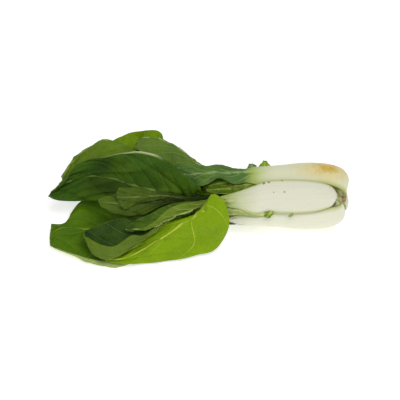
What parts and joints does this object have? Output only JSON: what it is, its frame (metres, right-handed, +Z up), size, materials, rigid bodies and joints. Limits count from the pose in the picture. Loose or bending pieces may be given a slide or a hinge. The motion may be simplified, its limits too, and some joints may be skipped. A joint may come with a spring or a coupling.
{
  "type": "bok choy head",
  "caption": "Cut head of leafy greens lying on its side: thick pale stalks gathered at a root stub, opening into broad cupped green blades.",
  "frame": {"origin": "middle of the bounding box, on the surface that the head lies on", "axes": "+X along the head towards the cut root, +Z up"},
  "size_m": [0.302, 0.1546, 0.0692],
  "materials": {
    "outer_leaf": "smooth waxy stalk, satin leaf blade",
    "inner_leaf": "satin leaf blade with pale veins",
    "heart_leaf": "matte young leaf",
    "cut_root": "dry brown cut face"
  },
  "bodies": {
    "root": {"front_leaf": "outer_leaf", "upper_leaf": "outer_leaf", "lower_leaf": "outer_leaf", "under_leaf": "outer_leaf", "spread_leaf": "inner_leaf", "pocket_leaf": "inner_leaf", "arched_leaf": "inner_leaf", "far_leaf": "inner_leaf", "cupped_leaf": "inner_leaf", "heart_leaf_outer": "heart_leaf", "heart_leaf_inner": "heart_leaf", "crown": "cut_root"}
  },
  "joints": []
}
